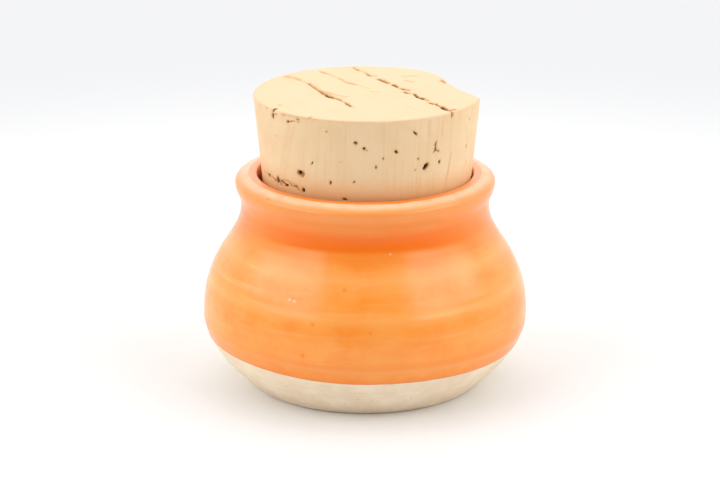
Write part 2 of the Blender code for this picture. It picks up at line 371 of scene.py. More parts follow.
def wall_outline():
    """The outer outline from the top of the foot's edge to the widest point of the lip."""
    foot = foot_edge()[-1]
    lean = math.radians(FOOT_WALL_LEAN)
    foot_pull_radius = foot[0] + FOOT_TO_BELLY_PULL * math.cos(lean)
    foot_pull_height = foot[1] + FOOT_TO_BELLY_PULL * math.sin(lean)
    belly = (BELLY_RADIUS, BELLY_HEIGHT)
    neck = (NECK_RADIUS, NECK_HEIGHT)
    lip = (LIP_RADIUS, LIP_HEIGHT)
    lower = curve(foot, (foot_pull_radius, foot_pull_height),
                  (BELLY_RADIUS, BELLY_HEIGHT - BELLY_PULL_DOWN), belly)
    shoulder = curve(belly, (BELLY_RADIUS, BELLY_HEIGHT + BELLY_PULL_UP),
                     (NECK_RADIUS, NECK_HEIGHT - NECK_PULL_DOWN), neck)
    flare = curve(neck, (NECK_RADIUS, NECK_HEIGHT + NECK_PULL_UP),
                  (LIP_RADIUS, LIP_HEIGHT - LIP_PULL_DOWN), lip)
    return lower + shoulder[1:] + flare[1:]


def lip_outline():
    """The lip, from its widest point over the crest near its inner side and down the throat."""
    slope_width = LIP_RADIUS - CREST_RADIUS
    edge_width = CREST_RADIUS - THROAT_RADIUS
    crest_height = LIP_HEIGHT + CREST_RISE
    points = []
    for step in range(1, CURVE_STEPS):
        turn = math.radians(90.0 * step / (CURVE_STEPS - 1))
        points.append((CREST_RADIUS + slope_width * math.cos(turn), LIP_HEIGHT + CREST_RISE * math.sin(turn)))
    for step in range(1, CURVE_STEPS // 2):
        turn = math.radians(90.0 * step / (CURVE_STEPS // 2 - 1))
        points.append((CREST_RADIUS - edge_width * math.sin(turn),
                       crest_height - THROAT_ROUNDING * (1.0 - math.cos(turn))))
    seat_top = (seat_radius(SEAT_TOP_HEIGHT), SEAT_TOP_HEIGHT)
    return points + curve(points[-1], (THROAT_RADIUS, THROAT_HEIGHT), (THROAT_RADIUS, THROAT_HEIGHT),
                          seat_top)[1:]


def cork_radius(height):
    share = (CORK_TOP - height) / CORK_LENGTH
    return CORK_TOP_RADIUS + share * (CORK_BOTTOM_RADIUS - CORK_TOP_RADIUS)


def seat_radius(height):
    """The seat clears the cork all round, also where the cork stands off the jar's axis."""
    return cork_radius(height) + SEAT_GAP + CORK_OFFSET


def pushed_in(points, distance):
    """The outline a distance further into the wall, at right angles to itself."""
    moved = []
    for index, (radius, height) in enumerate(points):
        before = points[max(index - 1, 0)]
        after = points[min(index + 1, len(points) - 1)]
        run = (after[0] - before[0], after[1] - before[1])
        length = math.hypot(*run)
        moved.append((radius - distance * run[1] / length, height + distance * run[0] / length))
    return moved


def lengths_along(points):
    """How far along the outline each of its points lies."""
    total = 0.0
    lengths = [0.0]
    for before, after in zip(points, points[1:]):
        total += math.dist(before, after)
        lengths.append(total)
    return lengths


def place_at_height(points, height):
    """Where a rising outline first reaches a height, as length along it and radius."""
    lengths = lengths_along(points)
    for index, (before, after) in enumerate(zip(points, points[1:])):
        if before[1] <= height <= after[1]:
            share = (height - before[1]) / (after[1] - before[1])
            return (lengths[index] + share * (lengths[index + 1] - lengths[index]),
                    before[0] + share * (after[0] - before[0]))
    return 0.0, 0.0


GLAZED_OUTLINE = wall_outline() + lip_outline()
GLAZE_START = place_at_height(GLAZED_OUTLINE, GLAZE_EDGE_HEIGHT)[0]
GLAZE_END = lengths_along(GLAZED_OUTLINE)[-1]
NECK_PLACE = place_at_height(GLAZED_OUTLINE, NECK_HEIGHT)[0]
LIP_PLACE = place_at_height(GLAZED_OUTLINE, LIP_HEIGHT)[0]
CREST_PLACE = place_at_height(GLAZED_OUTLINE, LIP_HEIGHT + CREST_RISE * 0.9999)[0]


def clay_outline():
    """The clay from the middle of the base, up under the glaze and down to the seat's floor."""
    foot = [(radius - GLAZE_THICKNESS, height) for radius, height in foot_edge()]
    base = [(foot[0][0] * step / 20.0, 0.0) for step in range(20)]
    wall = pushed_in(GLAZED_OUTLINE, GLAZE_THICKNESS)
    wall = [(radius, max(height, foot[-1][1])) for radius, height in wall]
    floor_height = CORK_LOW.z - SEAT_GAP
    floor_radius = seat_radius(floor_height)
    floor = [(floor_radius * (1.0 - step / 8.0), floor_height) for step in range(9)]
    return base + foot + wall[1:] + floor


# Throwing, by geometry nodes

THROWN_INPUTS = (
    ("Rows", "Int"), ("Segments", "Int"), ("Start", "Float"), ("End", "Float"), ("Outer Share", "Float"),
    ("Thickness", "Float"), ("Sunk", "Float"), ("Roll", "Float"), ("Edge Fall", "Float"),
    ("Edge Rise", "Float"), ("Edge Wave", "Float"), ("Ridge Proud", "Float"), ("Throwing Depth", "Float"),
    ("Throwing Pitch", "Float"), ("Seed", "Float"), ("Material", "Material"),
)


def rolled(nodes, distance, width):
    """A quarter round that climbs from 0 to 1 within a width of an edge."""
    left = nodes.minus(1.0, nodes.math("MINIMUM", nodes.over(distance, width), 1.0))
    left = nodes.math("MAXIMUM", left, 0.0)
    return nodes.math("SQRT", nodes.minus(1.0, nodes.times(left, left)))


def thrown_surface_tree():
    """Turns an outline round the jar's axis, with the rings that fingers leave on the wheel.

    A grid's X runs along the outline and its Y round the jar. Past the outer share the grid
    comes back along the outline just under the clay, so that a coat of glaze is one closed shell.
    """
    tree, nodes, given = new_tree("thrown_surface", "Outline", THROWN_INPUTS, "Surface")
    full_turn = 2.0 * math.pi

    outline = nodes.add("GeometryNodeMeshToCurve", {"Mesh": given["Outline"]}).outputs["Curve"]
    around = nodes.plus(given["Segments"], 1.0)
    grid = nodes.add("GeometryNodeMeshGrid", {
        "Size X": 1.0, "Size Y": 1.0, "Vertices X": given["Rows"], "Vertices Y": around,
    }).outputs["Mesh"]
    place = nodes.apart(nodes.add("GeometryNodeInputPosition").outputs[0])
    share = nodes.plus(place["X"], 0.5)
    turn = nodes.times(nodes.plus(place["Y"], 0.5), full_turn)
    cosine = nodes.math("COSINE", turn)
    sine = nodes.math("SINE", turn)

    is_inner = nodes.math("GREATER_THAN", share, nodes.plus(given["Outer Share"], 0.0001))
    outward_run = nodes.over(share, given["Outer Share"])
    inner_part = nodes.minus(1.0, given["Outer Share"])
    return_run = nodes.over(nodes.minus(1.0, share), inner_part)
    run = nodes.add("ShaderNodeMix", data_type="FLOAT")
    nodes.feed(run.inputs[0], is_inner)
    nodes.feed(run.inputs[2], outward_run)
    nodes.feed(run.inputs[3], return_run)

    sway = nodes.minus(nodes.times(sine, given["Edge Rise"]), nodes.times(cosine, given["Edge Fall"]))
    ripple = nodes.math("SINE", nodes.plus(nodes.times(turn, 5.0), 1.0))
    uneven = nodes.minus(nodes.noise(nodes.vector(cosine, sine, given["Seed"]), 4.0, 3.0), 0.5)
    ripple = nodes.plus(ripple, nodes.times(uneven, 2.0))
    sway = nodes.plus(sway, nodes.times(ripple, given["Edge Wave"]))
    start = nodes.plus(given["Start"], sway)
    stretch = nodes.minus(given["End"], start)
    above_edge = nodes.times(run.outputs[0], stretch)
    along = nodes.plus(start, above_edge)
    below_end = nodes.minus(given["End"], along)

    sample = nodes.add("GeometryNodeSampleCurve", mode="LENGTH", use_all_curves=False)
    nodes.feed(sample.inputs["Curves"], outline)
    nodes.feed(sample.inputs["Length"], along)
    flat = nodes.apart(sample.outputs["Position"])
    heading = nodes.apart(sample.outputs["Tangent"])

    cover = nodes.times(rolled(nodes, above_edge, given["Roll"]), rolled(nodes, below_end, given["Roll"]))
    cover = nodes.times(cover, nodes.minus(1.0, is_inner))
    swirl = nodes.plus(nodes.over(nodes.times(along, full_turn), given["Throwing Pitch"]), turn)
    ring_place = nodes.vector(cosine, sine, nodes.times(along, 110.0))
    ring_place = nodes.vector_math("ADD", ring_place, nodes.vector(given["Seed"], 0.0, 0.0))
    strength = nodes.noise(ring_place, 1.2, 1.0)
    finger_rings = nodes.times(nodes.plus(nodes.math("SINE", swirl), 1.0), strength)
    streak_place = nodes.vector(cosine, sine, nodes.times(along, 420.0))
    streaks = nodes.noise(streak_place, 2.4, 3.0)
    marks = nodes.plus(nodes.times(finger_rings, 0.5), nodes.times(streaks, 0.7))
    marks = nodes.times(marks, given["Throwing Depth"], cover)
    ridge = nodes.times(nodes.hump(above_edge, RIDGE_RISE, RIDGE_HALF_WIDTH), given["Ridge Proud"])
    proud = nodes.times(nodes.plus(given["Thickness"], given["Sunk"]), cover)
    proud = nodes.minus(proud, given["Sunk"])
    proud = nodes.plus(nodes.minus(proud, marks), ridge)

    radius = nodes.plus(flat["X"], nodes.times(heading["Z"], proud))
    height = nodes.minus(flat["Z"], nodes.times(heading["X"], proud))
    thrown = nodes.vector(nodes.times(radius, cosine), nodes.times(radius, sine), height)

    surface = nodes.keep(nodes.keep(grid, "along", along), "above_edge", above_edge)
    surface = nodes.add("GeometryNodeSetPosition", {"Geometry": surface, "Position": thrown}).outputs[0]
    surface = nodes.add("GeometryNodeMergeByDistance", {"Geometry": surface, "Distance": 0.000002}).outputs[0]
    surface = nodes.add("GeometryNodeFlipFaces", {"Mesh": surface}).outputs[0]
    close_tree(nodes, surface, given["Material"], "Surface")
    return tree


def run_tree(name, mesh, tree, values):
    """Runs a geometry tree over a mesh and returns the result as an object with a plain mesh."""
    source = bpy.data.objects.new(name + "_source", mesh)
    bpy.context.scene.collection.objects.link(source)
    modifier = source.modifiers.new("tree", "NODES")
    modifier.node_group = tree
    for item in tree.interface.items_tree:
        if item.in_out == "INPUT" and item.name in values:
            modifier[item.identifier] = values[item.name]
    bpy.context.view_layer.update()
    depsgraph = bpy.context.evaluated_depsgraph_get()
    result = bpy.data.meshes.new_from_object(
        source.evaluated_get(depsgraph), preserve_all_data_layers=True, depsgraph=depsgraph)
    result.name = name
    bpy.data.objects.remove(source)
    piece = bpy.data.objects.new(name, result)
    bpy.context.scene.collection.objects.link(piece)
    return piece


def outline_mesh(name, points):
    mesh = bpy.data.meshes.new(name)
    mesh.from_pydata([(radius, 0.0, height) for radius, height in points],
                     [(step, step + 1) for step in range(len(points) - 1)], [])
    return mesh


def check_closed(piece):
    """Stops the script if a piece has an open edge or is inside out."""
    builder = bmesh.new()
    builder.from_mesh(piece.data)
    open_edges = sum(1 for edge in builder.edges if not edge.is_manifold)
    volume = builder.calc_volume(signed=True)
    triangles = sum(len(face.verts) - 2 for face in builder.faces)
    builder.free()
    print(f"{piece.name}: {triangles} triangles, {open_edges} open edges, {volume * 1e6:.2f} ml")
    if open_edges or volume <= 0.0:
        raise RuntimeError(f"{piece.name} is open or inside out")


def make_clay(tree):
    """The turned clay body, which shows bare under the glaze's edge and on the base."""
    points = clay_outline()
    return run_tree("clay_body", outline_mesh("clay_outline", points), tree, {
        "Rows": 230, "Segments": 240, "Start": 0.0, "End": lengths_along(points)[-1],
        "Outer Share": 1.0, "Thickness": 0.0, "Sunk": 0.0, "Roll": 0.0001,
        "Edge Fall": 0.0, "Edge Rise": 0.0, "Edge Wave": 0.0, "Ridge Proud": 0.0,
        "Throwing Depth": 0.0, "Throwing Pitch": 0.0022,
        "Seed": 3.0, "Material": clay_material(),
    })


def make_glaze(tree):
    """The coat of glaze, from its rolled lower edge up over the lip and into the throat."""
    return run_tree("glaze_coat", outline_mesh("glazed_outline", GLAZED_OUTLINE), tree, {
        "Rows": 216, "Segments": 360, "Start": GLAZE_START, "End": GLAZE_END,
        "Outer Share": 0.9, "Thickness": 0.0, "Sunk": GLAZE_THICKNESS + GLAZE_SUNK, "Roll": GLAZE_ROLL,
        "Edge Fall": BELLY_RADIUS * GLAZE_EDGE_FALL_TO_RIGHT * EDGE_SLOPE,
        "Edge Rise": BELLY_RADIUS * GLAZE_EDGE_RISE_TO_BACK * EDGE_SLOPE,
        "Edge Wave": GLAZE_EDGE_WAVE, "Ridge Proud": RIDGE_PROUD,
        "Throwing Depth": 0.00007, "Throwing Pitch": 0.0031,
        "Seed": 7.0, "Material": glaze_material(),
    })


# The jar's materials

def clay_material():
    """Bare fired clay: pale buff, dry, with fine turning lines and iron specks."""
    material, nodes, shader = new_material("bare_clay")
    place = object_place(nodes)
    mottle = nodes.noise(place, 160.0, 4.0, 0.6)
    color = nodes.mix(nodes.remap(mottle, 0.3, 0.7), srgb(236, 215, 186), srgb(247, 230, 204))
    turned = nodes.apart(place)
    lines = nodes.noise(nodes.stretched(turned, 40.0, turned["Z"], 1500.0), 1.0, 3.0)
    color = nodes.mix(nodes.remap(lines, 0.45, 0.75, 0.0, 0.18), color, srgb(214, 190, 160))
    cells = nodes.add("ShaderNodeTexVoronoi", {"Vector": place, "Scale": 620.0})
    chosen = nodes.math("GREATER_THAN", nodes.apart(cells.outputs["Color"])["X"], 0.80)
    speck = nodes.times(nodes.remap(cells.outputs["Distance"], 0.10, 0.24, 1.0, 0.0), chosen)
    color = nodes.mix(nodes.times(speck, 0.35), color, srgb(160, 128, 98))
    grit = nodes.noise(place, 2200.0, 3.0, 0.6)
    relief = nodes.plus(nodes.times(lines, 0.6), nodes.times(grit, 0.4))
    finish(nodes, shader, color, 0.85, 0.3, (0.0, 0.5), relief, (0.35, 0.00015))
    return material


def glaze_material():
    """A satin orange glaze, paler where it breaks over ridges and the lip, deeper in the neck; shade is
    painted into the neck and throat, highlights onto the lip and shoulder, and a reflection inside the lip.
    """
    material, nodes, shader = new_material("orange_glaze")
    place = object_place(nodes)
    turned = nodes.apart(place)
    along = attribute(nodes, "along")
    above_edge = attribute(nodes, "above_edge")

    # Clouds and fine mottling, with soft bands and thin short streaks where it ran round the jar
    streaks = nodes.noise(nodes.stretched(turned, 95.0, along, 1100.0), 1.0, 4.0, 0.6)
    bands = nodes.noise(nodes.stretched(turned, 30.0, along, 170.0), 1.0, 2.0, 0.5)
    clouds = nodes.noise(place, 120.0, 4.0, 0.6)
    mottle = nodes.noise(place, 520.0, 3.0, 0.6)
    color = nodes.mix(nodes.remap(clouds, 0.30, 0.70), srgb(251, 142, 43), srgb(254, 158, 66))
    for pattern, low, high, strength, shade in (
        (mottle, 0.45, 0.75, 0.20, (254, 170, 88)), (mottle, 0.42, 0.25, 0.20, (246, 130, 34)),
        (bands, 0.42, 0.70, 0.50, (254, 165, 76)), (streaks, 0.54, 0.74, 0.24, (255, 192, 122)),
    ):
        color = nodes.mix(nodes.remap(pattern, low, high, 0.0, strength), color, srgb(*shade))
    # The highest band, on the upper shoulder, is partly a painted highlight of the tent's ceiling
    for band_height, half_width, strength, shade in GLAZE_AND_HIGHLIGHT_BANDS:
        band = nodes.hump(turned["Z"], band_height, half_width)
        color = nodes.mix(nodes.times(band, strength), color, srgb(*shade))
    azimuth = nodes.math("ARCTAN2", turned["Y"], turned["X"])
    for first, last, arc_height, strength in PALE_ARCS:
        middle = math.radians((first + last) / 2.0)
        reach = math.radians((last - first) / 2.0)
        arc = nodes.hump(azimuth, middle, reach)
        line = nodes.hump(turned["Z"], arc_height, ARC_HALF_WIDTH)
        color = nodes.mix(nodes.times(arc, line, strength), color, srgb(255, 202, 140))

    # Deeper under the neck, and gathered thick in its hollow down to a crease, where it also carries painted
    # shade under the lip, strongest at the front
    under_neck = nodes.climb(along, NECK_PLACE, NECK_DEEPENS, 0.0, 0.6)
    color = nodes.mix(under_neck, color, srgb(250, 132, 38))
    # The pool is partly painted shade under the lip's overhang, so it is painted strongest at the front
    pool_and_painted_shade = nodes.times(nodes.climb(along, NECK_PLACE, POOL_AND_SHADE_STARTS),
                         nodes.climb(along, NECK_PLACE, POOL_AND_SHADE_ENDS, 1.0, 0.0))
    sideways = nodes.remap(nodes.math("ABSOLUTE", turned["X"]), *SIDEWAYS)
    pool_and_painted_shade = nodes.times(pool_and_painted_shade, nodes.minus(0.94, nodes.times(sideways, 0.66)))
    color = nodes.mix(pool_and_painted_shade, color, srgb(250, 114, 0))

    # Small faults of the firing
    for angle, fault_height, size, shade in FAULTS:
        turn = math.radians(angle)
        radius = place_at_height(GLAZED_OUTLINE, fault_height)[1]
        centre = (radius * math.cos(turn), radius * math.sin(turn), fault_height)
        away = nodes.add("ShaderNodeVectorMath", {0: place, 1: centre}, operation="DISTANCE").outputs["Value"]
        color = nodes.mix(nodes.remap(away, size, 0.0, 0.0, 0.80), color, srgb(*shade))

    # Thin and pale on the ridge above the edge, and a touch deeper in the rolled edge itself
    ridge = nodes.times(nodes.hump(above_edge, RIDGE_RISE, RIDGE_HALF_WIDTH), 0.35)
    color = nodes.mix(ridge, color, srgb(250, 172, 104))
    edge = nodes.remap(above_edge, 0.0, DEEP_EDGE_HEIGHT, 0.55, 0.0)
    color = nodes.mix(edge, color, srgb(240, 124, 34))

    # Cream where the glaze breaks over the lip just outside its crest, also a painted highlight on the lip's
    # rounded edge, and pale below that; a painted reflection on the lip's inner slope
    wander = nodes.times(nodes.minus(nodes.noise(place, 210.0, 3.0), 0.5), 0.0007)
    lip_along = nodes.plus(along, wander)
    thin = nodes.times(nodes.remap(lip_along, NECK_PLACE + THINS_ABOVE_NECK, LIP_PLACE),
                       nodes.climb(lip_along, CREST_PLACE, THIN_ENDS, 1.0, 0.0))
    color = nodes.mix(nodes.times(thin, 0.26), color, srgb(250, 190, 126))
    patchy = nodes.remap(nodes.noise(place, 330.0, 3.0), 0.30, 0.65, 0.65, 0.90)
    # The cream is partly a painted highlight on the lip's rounded outer edge, weaker towards the sides
    cream = nodes.times(nodes.climb(lip_along, CREST_PLACE, CREAM_AND_HIGHLIGHT_STARTS),
                        nodes.climb(lip_along, CREST_PLACE, CREAM_AND_HIGHLIGHT_ENDS, 1.0, 0.0), patchy,
                        nodes.minus(1.0, nodes.times(sideways, 0.25)))
    color = nodes.mix(cream, color, srgb(252, 214, 176))
    # Painted reflection of the white tent on the lip's inner slope, painted only towards the sides
    inner = nodes.times(nodes.climb(lip_along, CREST_PLACE, INNER_LIP_REFLECTION_STARTS), sideways, 0.45)
    color = nodes.mix(inner, color, srgb(250, 190, 146))

    # Deep again inside the throat: painted shade in the narrow gap beside the cork
    throat = nodes.climb(along, CREST_PLACE, THROAT_SHADE_STARTS, 0.0, 0.8)
    color = nodes.mix(throat, color, srgb(226, 100, 24))

    orange_peel = nodes.noise(place, 700.0, 2.0, 0.5)
    relief = nodes.plus(nodes.times(bands, 0.6), nodes.times(orange_peel, 0.4))
    gloss = nodes.remap(mottle, 0.3, 0.7, 0.19, 0.25)
    finish(nodes, shader, color, gloss, 0.45, (0.05, 0.3), relief, (0.15, 0.0002))
    return material


# The cork's shape

RING_COUNT = 640
FRONT_CROWDING = 0.30
VISIBLE_DEPTH = 0.0216
SIDE_SPACING = 0.00028
TOP_SPACING = 0.00033
SIDE_MARK_INSET = 0.0004
MARK_FADE = 0.0012
GROWTH_LINE_HALF_WIDTH = 0.00022
SCAR_ARC_HALF_WIDTH = 0.00024

# Pits and slots in the cork's side: angle, height, half width, half height, tilt, depth, darkness
SIDE_MARKS = (
    (-144.6, 0.0742, 0.0005, 0.0005, 35, 0.0009, 1.0), (-145.1, 0.0726, 0.00045, 0.00065, 0, 0.001, 1.0),
    (-142.8, 0.0733, 0.0006, 0.0002, 0, 0.0003, 0.5), (-151.0, 0.074, 0.0003, 0.0003, 0, 0.0003, 0.4),
    (-136.2, 0.0737, 0.0009, 0.0004, -20, 0.0002, 0.2), (-133.8, 0.0723, 0.0004, 0.0003, 0, 0.0006, 0.95),
    (-131.2, 0.0726, 0.0012, 0.0002, -8, 0.0004, 0.55), (-127.1, 0.0734, 0.0008, 0.0003, 0, 0.0004, 0.35),
    (-126.8, 0.0728, 0.0006, 0.0002, 0, 0.0003, 0.3), (-120.3, 0.0743, 0.0006, 0.0003, -20, 0.0003, 0.35),
    (-144.2, 0.0676, 0.0007, 0.0003, 0, 0.0001, 0.18), (-122.2, 0.0664, 0.0004, 0.0002, 0, 0.0001, 0.12),
    (-119.6, 0.0628, 0.00022, 0.0006, 35, 0.0005, 0.7), (-126.3, 0.0594, 0.00105, 0.00105, 0, 0.0007, 0.5),
    (-128.0, 0.0597, 0.0005, 0.0006, 0, 0.0013, 0.95), (-144.9, 0.059, 0.0002, 0.0006, 0, 0.0001, 0.15),
    (-66.1, 0.0708, 0.00095, 0.00022, 42, 0.0006, 0.85), (-53.2, 0.0668, 0.00024, 0.0013, 0, 0.0005, 0.75),
    (-53.1, 0.0657, 0.0003, 0.0006, 0, 0.0006, 0.85), (-54.0, 0.0652, 0.00022, 0.0004, 40, 0.0004, 0.6),
    (-51.6, 0.0653, 0.0006, 0.00022, 25, 0.0004, 0.6), (-63.5, 0.0641, 0.0003, 0.00035, 0, 0.0004, 0.55),
    (-49.8, 0.0623, 0.0003, 0.0006, 0, 0.0006, 0.75), (-58.6, 0.0617, 0.00055, 0.0009, 35, 0.0011, 1.0),
    (-57.7, 0.0623, 0.0005, 0.0005, 0, 0.0005, 0.55), (-64.6, 0.0613, 0.00022, 0.0004, 40, 0.0003, 0.45),
    (-26.4, 0.0709, 0.0003, 0.0003, 0, 0.0004, 0.6), (-26.9, 0.064, 0.00022, 0.0006, 0, 0.0004, 0.75),
    (-24.2, 0.0596, 0.00022, 0.0007, 0, 0.0002, 0.3), (-25.9, 0.0659, 0.00022, 0.0005, 0, 0.0002, 0.25),
    (-111.1, 0.0714, 0.00028, 0.00022, 0, 0.0003, 0.6), (-96.3, 0.0689, 0.0005, 0.00045, 0, 0.0007, 0.65),
    (-92.1, 0.0675, 0.00042, 0.00037, 0, 0.0007, 0.9), (-90.7, 0.0671, 0.0003, 0.00022, 30, 0.0003, 0.4),
    (-109.4, 0.0583, 0.0003, 0.0006, 0, 0.0006, 0.75), (-96.9, 0.0589, 0.00034, 0.00036, 0, 0.0004, 0.55),
    (-104.0, 0.0639, 0.0006, 0.00018, 0, 0.0001, 0.2), (-101.6, 0.0543, 0.0007, 0.00032, 15, 0.0005, 0.7),
    (-85.8, 0.0627, 0.0003, 0.0005, -10, 0.0005, 0.7), (-82.3, 0.0649, 0.00027, 0.00027, 0, 0.0004, 0.6),
    (-75.7, 0.0664, 0.00055, 0.00035, 35, 0.0007, 0.85), (-74.6, 0.0687, 0.00022, 0.00022, 0, 0.0001, 0.15),
    (-43.1, 0.0738, 0.0004, 0.0008, 0, 0.0006, 0.6),
)

# The scar low on the left, a row of ragged pits, each given like the marks above
LOW_SCAR = (
    (-162.6, 0.0563, 0.0013, 0.0003, 25, 0.0003, 0.45), (-155.5, 0.0561, 0.00085, 0.00055, 0, 0.0006, 0.7),
    (-150.1, 0.056, 0.0013, 0.00026, 30, 0.0004, 0.6), (-145.7, 0.0561, 0.0005, 0.00105, 15, 0.001, 1.0),
    (-148.0, 0.0556, 0.0007, 0.00022, -40, 0.0004, 0.55),
    (-143.4, 0.0554, 0.0009, 0.00026, 40, 0.0004, 0.6), (-141.2, 0.056, 0.0015, 0.0004, 12, 0.0005, 0.6),
    (-138.0, 0.0555, 0.00075, 0.00045, -15, 0.0007, 0.9), (-134.6, 0.056, 0.0012, 0.00022, 30, 0.0004, 0.5),
    (-130.6, 0.0558, 0.00095, 0.00055, 20, 0.0004, 0.45),
    (-129.0, 0.0551, 0.0013, 0.00022, 15, 0.0003, 0.45),
    (-125.7, 0.0553, 0.00042, 0.00066, -10, 0.0009, 1.0),
)
SCAR_ARC = ((-142.9, 0.0563), (-137.3, 0.0569), (-133.1, 0.0566), (-130.1, 0.0560))

# Growth lines in the side: first angle and height, last angle and height, and strength
GROWTH_LINES = (
    (-58.5, 0.0732, -57.9, 0.0693, 0.3), (-57.5, 0.0733, -56.8, 0.0694, 0.22),
    (-49.8, 0.0728, -49.2, 0.0686, 0.3), (-41.3, 0.064, -42.6, 0.0597, 0.5),
    (-42.6, 0.0597, -44.0, 0.0567, 0.5), (-44.0, 0.0567, -44.6, 0.0536, 0.5),
    (-63.5, 0.0595, -63.7, 0.0569, 0.22), (-61.2, 0.0591, -61.7, 0.0563, 0.3),
    (-53.9, 0.0606, -53.3, 0.0556, 0.15), (-29.6, 0.0695, -28.6, 0.0675, 0.22),
    (-138.0, 0.0739, -116.0, 0.0741, 0.4), (-116.0, 0.0741, -88.0, 0.0742, 0.25),
    (-160.0, 0.0562, -143.0, 0.0557, 0.55), (-143.0, 0.0557, -126.0, 0.0554, 0.55),
)

# Pockets in the top: first x and y, last x and y, half width, depth and darkness
LONG_CRACK_POCKETS = (
    (-0.0038, 0.0267, -0.0023, 0.0234, 0.0004, 0.0007, 0.55),
    (-0.0023, 0.0234, -0.0004, 0.021, 0.0003, 0.0003, 0.35),
    (-0.0004, 0.0202, 0.0006, 0.0176, 0.00045, 0.0006, 0.55),
    (0.0006, 0.0182, 0.0024, 0.0174, 0.0003, 0.0004, 0.4),
    (0.0028, 0.0142, 0.0051, 0.0098, 0.0006, 0.0009, 0.8),
    (0.0063, 0.0085, 0.0073, 0.0059, 0.0005, 0.0009, 0.95),
    (0.0079, 0.0044, 0.0102, 0.0025, 0.0005, 0.0009, 0.9),
    (0.0091, 0.0006, 0.0101, -0.0007, 0.0006, 0.0007, 0.7),
    (0.0115, -0.001, 0.0125, -0.0052, 0.0004, 0.0006, 0.75),
    (0.0122, -0.0046, 0.0136, -0.0057, 0.0006, 0.0009, 0.95),
    (0.0129, -0.0059, 0.0147, -0.0075, 0.0005, 0.0005, 0.4),
    (0.0151, -0.0102, 0.0163, -0.0113, 0.0006, 0.0009, 0.9),
    (0.0167, -0.0118, 0.0177, -0.0138, 0.00045, 0.0005, 0.5),
    (0.0179, -0.0141, 0.0188, -0.0168, 0.0007, 0.0011, 1.00),
    (0.0195, -0.0177, 0.0211, -0.0165, 0.0005, 0.0007, 0.7),
    (0.0204, -0.0198, 0.0208, -0.0222, 0.0004, 0.0006, 0.65),
)
LEFT_CRACK_POCKETS = (
    (-0.0209, 0.017, -0.0199, 0.0159, 0.001, 0.0003, 0.25),
    (-0.0188, 0.0154, -0.0175, 0.0132, 0.0008, 0.0003, 0.28),
    (-0.0175, 0.0127, -0.0151, 0.0096, 0.0003, 0.0002, 0.2),
    (-0.0151, 0.0096, -0.0119, 0.0013, 0.0006, 0.0005, 0.4),
    (-0.0119, 0.0013, -0.0109, -0.0012, 0.0008, 0.0006, 0.5),
    (-0.0108, -0.0018, -0.009, -0.005, 0.0007, 0.0012, 0.9),
    (-0.009, -0.005, -0.0072, -0.0068, 0.0006, 0.0011, 0.9),
    (-0.0112, 0.0013, -0.0089, -0.0017, 0.0006, 0.0003, 0.3),
    (-0.0089, -0.0017, -0.0054, -0.0043, 0.0004, 0.0002, 0.25),
    (-0.0071, -0.0072, -0.0054, -0.0102, 0.0003, 0.0004, 0.5),
    (-0.0054, -0.0107, -0.0044, -0.0131, 0.00045, 0.0006, 0.7),
    (-0.0044, -0.0136, -0.0032, -0.0151, 0.0003, 0.0002, 0.25),
)
FAINT_POCKETS = (
    (-0.0124, 0.0224, -0.0107, 0.0202, 0.0004, 0.0004, 0.45),
    (-0.0107, 0.0202, -0.0076, 0.0154, 0.0003, 0.0002, 0.25),
    (-0.0076, 0.0154, -0.0055, 0.0106, 0.0004, 0.0002, 0.3),
    (-0.0055, 0.0106, -0.0032, 0.0085, 0.0005, 0.0003, 0.4),
    (-0.0032, 0.0085, 0.0003, 0.004, 0.0003, 0.0002, 0.18),
    (0.0093, 0.017, 0.0129, 0.018, 0.0004, 0.0001, 0.22),
    (0.0095, 0.0127, 0.0115, 0.0106, 0.0004, 0.0001, 0.28),
    (0.0003, 0.0013, 0.0026, 0.0003, 0.0004, 0.0001, 0.18),
    (0.0189, 0.0127, 0.0201, 0.01, 0.0008, 0.0004, 0.4),
    (-0.0219, -0.0122, -0.0215, -0.013, 0.0003, 0.0003, 0.4),
)


def cork_rings():
    """The cork's rings from the middle of its bottom, up the side and in to the middle of its top.

    Each ring has its number of points, its depth under the top, and its distance in from the edge.
    """
    bottom = CORK_LENGTH
    rings = []
    for halvings, share in ((6, 0.1), (5, 0.25), (4, 0.4), (3, 0.55), (2, 0.7), (1, 0.85)):
        rings.append((RING_COUNT >> halvings, bottom, CORK_BOTTOM_RADIUS * (1.0 - share)))
    rings.append((RING_COUNT, bottom, CORK_EDGE_ROUNDING))
    rings.append((RING_COUNT, bottom - CORK_EDGE_ROUNDING, 0.0))
    for depth in np.linspace(bottom - 0.0015, VISIBLE_DEPTH + 0.001, 6):
        rings.append((RING_COUNT, float(depth), 0.0))
    rows = round((VISIBLE_DEPTH - CORK_EDGE_ROUNDING) / SIDE_SPACING)
    for depth in np.linspace(VISIBLE_DEPTH, CORK_EDGE_ROUNDING, rows):
        rings.append((RING_COUNT, float(depth), 0.0))
    for turn in (math.radians(30.0), math.radians(60.0), math.radians(90.0)):
        rings.append((RING_COUNT, CORK_EDGE_ROUNDING * (1.0 - math.sin(turn)),
                      CORK_EDGE_ROUNDING * (1.0 - math.cos(turn))))
    radius = CORK_TOP_RADIUS - CORK_EDGE_ROUNDING
    count = RING_COUNT
    while count > 10:
        stop = CORK_TOP_RADIUS * count / RING_COUNT / 2.0
        while radius - TOP_SPACING > stop:
            radius -= TOP_SPACING
            rings.append((count, 0.0, CORK_TOP_RADIUS - radius))
        count //= 2
        radius -= TOP_SPACING
        rings.append((count, 0.0, CORK_TOP_RADIUS - radius))
    return rings


